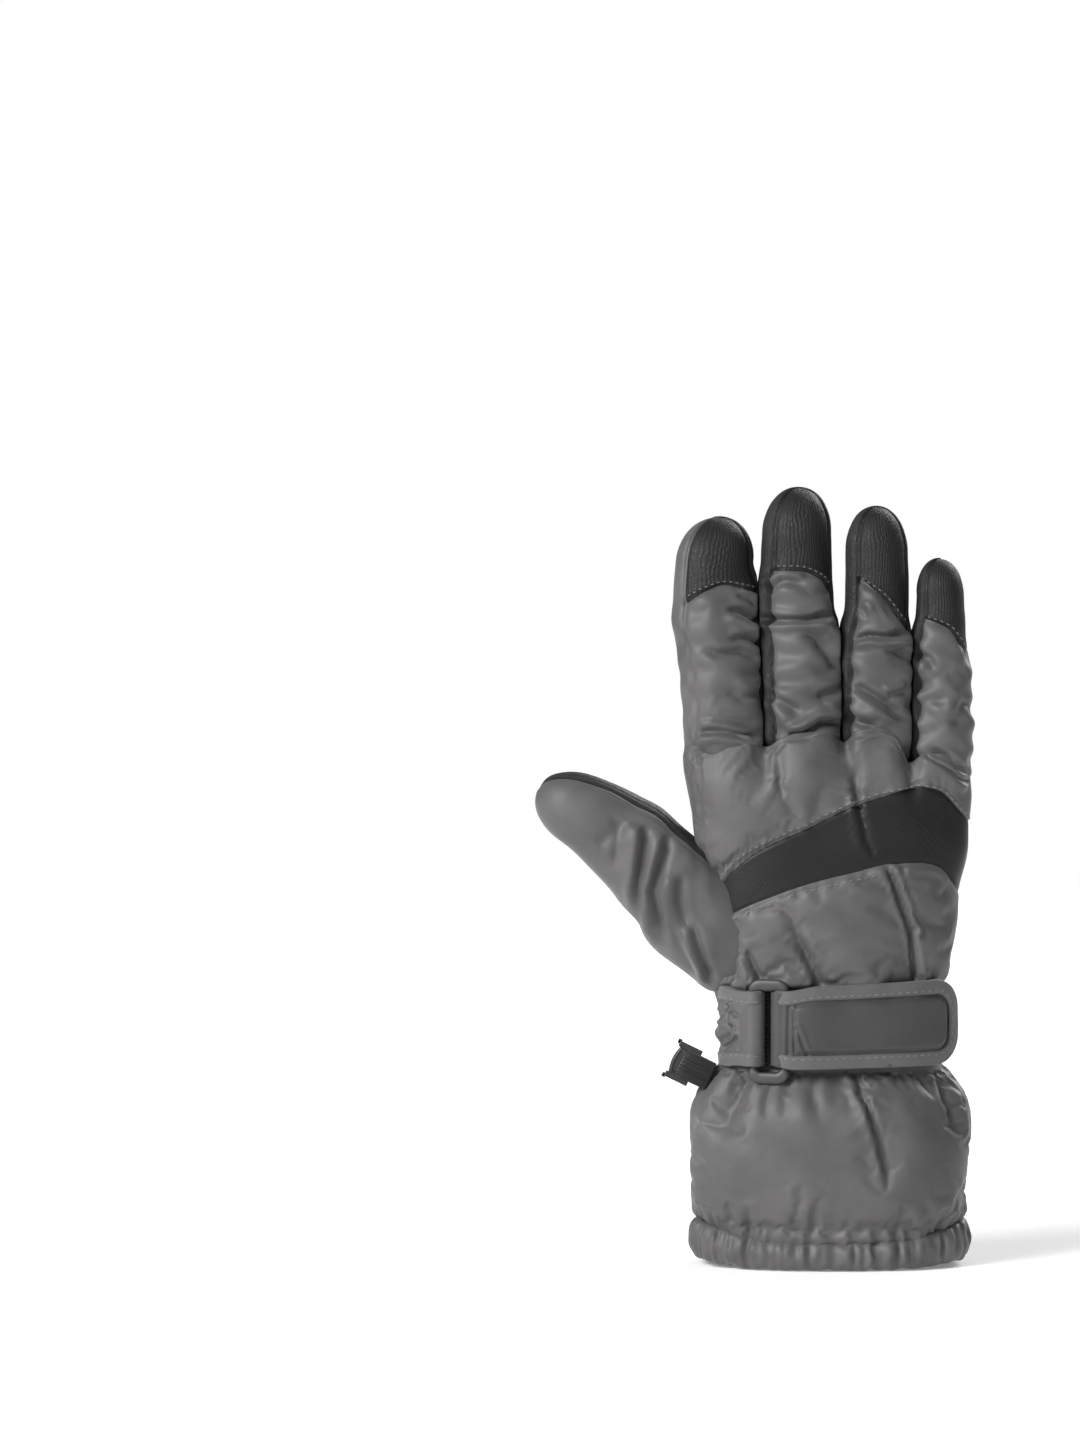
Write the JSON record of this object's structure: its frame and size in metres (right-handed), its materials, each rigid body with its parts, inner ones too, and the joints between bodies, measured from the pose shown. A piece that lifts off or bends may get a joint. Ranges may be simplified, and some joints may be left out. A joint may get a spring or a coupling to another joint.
{
  "type": "ski glove",
  "caption": "Padded right-hand ski glove with gauntlet cuff, leather palm, contrast band, ring-and-strap wrist closure and side clip.",
  "frame": {"origin": "centre of the overall box, on the floor plane that the hem stands on", "axes": "+Z along the fingers, -Y out of the back of the hand, +Y out of the palm, -X to the thumb side"},
  "size_m": [0.1558, 0.0624, 0.279],
  "materials": {
    "satin": "satin woven polyester",
    "leather": "embossed synthetic leather",
    "band": "smooth dark woven",
    "strap": "bound webbing strap",
    "webbing": "black ribbed webbing and loop",
    "plastic": "moulded acetal, satin",
    "lining": "brushed fleece",
    "elastic": "covered elastic"
  },
  "bodies": {
    "cuff": {"cuff_hem_roll": "satin", "hem_elastic": "elastic", "cuff_shell_back": "satin", "cuff_shell_palm": "satin", "cuff_lining": "lining"},
    "hand": {"wrist_gather": "satin", "hand_back_lower_panel": "satin", "contrast_band_panel": "band", "hand_back_upper_panel": "satin", "side_strip_little": "satin", "palm_leather_panel": "leather", "palm_wrist_panel": "satin", "wrist_elastic": "elastic", "hand_lining": "lining", "web_index_middle": "leather", "web_middle_ring": "leather", "web_ring_little": "leather", "strap_anchor_tab": "strap", "strap_base_loop": "webbing", "clip_webbing": "webbing", "thumb_base_gather": "satin", "index_knuckle_gather": "satin", "middle_knuckle_gather": "satin", "ring_knuckle_gather": "satin", "little_knuckle_gather": "satin"},
    "ring": {"wrist_ring": "plastic", "strap_fold": "strap"},
    "strap_tail": {"cinch_strap": "strap", "strap_hook_patch": "webbing"},
    "clip": {"clip_body": "plastic"},
    "thumb_root": {"thumb_back_panel": "satin", "thumb_palm_panel": "leather", "thumb_mid_gather": "satin"},
    "thumb_end": {"thumb_back_distal": "satin", "thumb_palm_distal": "leather"},
    "index_root": {"index_back_panel": "satin", "index_palm_panel": "leather", "index_mid_gather": "satin"},
    "index_end": {"index_back_distal": "satin", "index_palm_distal": "leather", "index_tip_cap": "leather"},
    "middle_root": {"middle_back_panel": "satin", "middle_palm_panel": "leather", "middle_mid_gather": "satin"},
    "middle_end": {"middle_back_distal": "satin", "middle_palm_distal": "leather", "middle_tip_cap": "leather"},
    "ring_root": {"ring_back_panel": "satin", "ring_palm_panel": "leather", "ring_mid_gather": "satin"},
    "ring_end": {"ring_back_distal": "satin", "ring_palm_distal": "leather", "ring_tip_cap": "leather"},
    "little_root": {"little_back_panel": "satin", "little_palm_panel": "leather", "little_mid_gather": "satin"},
    "little_end": {"little_back_distal": "satin", "little_palm_distal": "leather", "little_tip_cap": "leather"}
  },
  "joints": [
    {"name": "wrist_bend", "type": "hinge", "parent": "cuff", "child": "hand", "pos_m": [0.02692, 0, 0.065], "axis": [-1, 0, 0], "range_deg": [-12, 12], "stiffness_Nm_per_rad": 1.6, "deforming": ["wrist_gather"]},
    {"name": "index_knuckle", "type": "hinge", "parent": "hand", "child": "index_root", "pos_m": [-0.01128, 0, 0.194], "axis": [-1, 0, 0], "range_deg": [0, 60], "stiffness_Nm_per_rad": 0.08, "deforming": ["index_knuckle_gather"]},
    {"name": "index_mid", "type": "hinge", "parent": "index_root", "child": "index_end", "pos_m": [-0.01379, 0.001, 0.226], "axis": [-1, 0, 0], "range_deg": [0, 60], "stiffness_Nm_per_rad": 0.06, "deforming": ["index_mid_gather"]},
    {"name": "middle_knuckle", "type": "hinge", "parent": "hand", "child": "middle_root", "pos_m": [0.01691, 0, 0.194], "axis": [-1, 0, 0], "range_deg": [0, 60], "stiffness_Nm_per_rad": 0.08, "deforming": ["middle_knuckle_gather"]},
    {"name": "middle_mid", "type": "hinge", "parent": "middle_root", "child": "middle_end", "pos_m": [0.01571, 0.0012, 0.232], "axis": [-1, 0, 0], "range_deg": [0, 60], "stiffness_Nm_per_rad": 0.06, "deforming": ["middle_mid_gather"]},
    {"name": "ring_knuckle", "type": "hinge", "parent": "hand", "child": "ring_root", "pos_m": [0.04292, 0, 0.194], "axis": [-1, 0, 0], "range_deg": [0, 60], "stiffness_Nm_per_rad": 0.08, "deforming": ["ring_knuckle_gather"]},
    {"name": "ring_mid", "type": "hinge", "parent": "ring_root", "child": "ring_end", "pos_m": [0.04351, 0.001, 0.226], "axis": [-1, 0, 0], "range_deg": [0, 60], "stiffness_Nm_per_rad": 0.06, "deforming": ["ring_mid_gather"]},
    {"name": "little_knuckle", "type": "hinge", "parent": "hand", "child": "little_root", "pos_m": [0.06681, 0, 0.187], "axis": [-1, 0, 0], "range_deg": [0, 60], "stiffness_Nm_per_rad": 0.08, "deforming": ["little_knuckle_gather"]},
    {"name": "little_mid", "type": "hinge", "parent": "little_root", "child": "little_end", "pos_m": [0.06681, 0.001, 0.215], "axis": [-1, 0, 0], "range_deg": [0, 60], "stiffness_Nm_per_rad": 0.06, "deforming": ["little_mid_gather"]},
    {"name": "thumb_base", "type": "hinge", "parent": "hand", "child": "thumb_root", "pos_m": [-0.02568, 0, 0.1314], "axis": [-0.68, 0, -0.7332], "range_deg": [0, 35], "stiffness_Nm_per_rad": 0.1, "deforming": ["thumb_base_gather"]},
    {"name": "thumb_mid", "type": "hinge", "parent": "thumb_root", "child": "thumb_end", "pos_m": [-0.04528, 0, 0.1493], "axis": [-0.66, 0, -0.7513], "range_deg": [0, 40], "stiffness_Nm_per_rad": 0.06, "deforming": ["thumb_mid_gather"]},
    {"name": "ring_tilt", "type": "hinge", "parent": "hand", "child": "ring", "pos_m": [-0.00134, -0.02026, 0.08455], "axis": [0, 0, -1], "range_deg": [0, 15]},
    {"name": "strap_peel", "type": "hinge", "parent": "ring", "child": "strap_tail", "pos_m": [0.01044, -0.02825, 0.0868], "axis": [0, 0, -1], "range_deg": [0, 150]},
    {"name": "clip_swing", "type": "hinge", "parent": "hand", "child": "clip", "pos_m": [-0.02468, -0.007, 0.0716], "axis": [0.4384, 0, 0.8988], "range_deg": [-60, 60]}
  ],
  "couplings": [
    {"joint": "index_mid", "follows": "index_knuckle", "ratio": 1},
    {"joint": "middle_mid", "follows": "middle_knuckle", "ratio": 1},
    {"joint": "ring_mid", "follows": "ring_knuckle", "ratio": 1},
    {"joint": "little_mid", "follows": "little_knuckle", "ratio": 1},
    {"joint": "thumb_mid", "follows": "thumb_base", "ratio": 1.14}
  ]
}
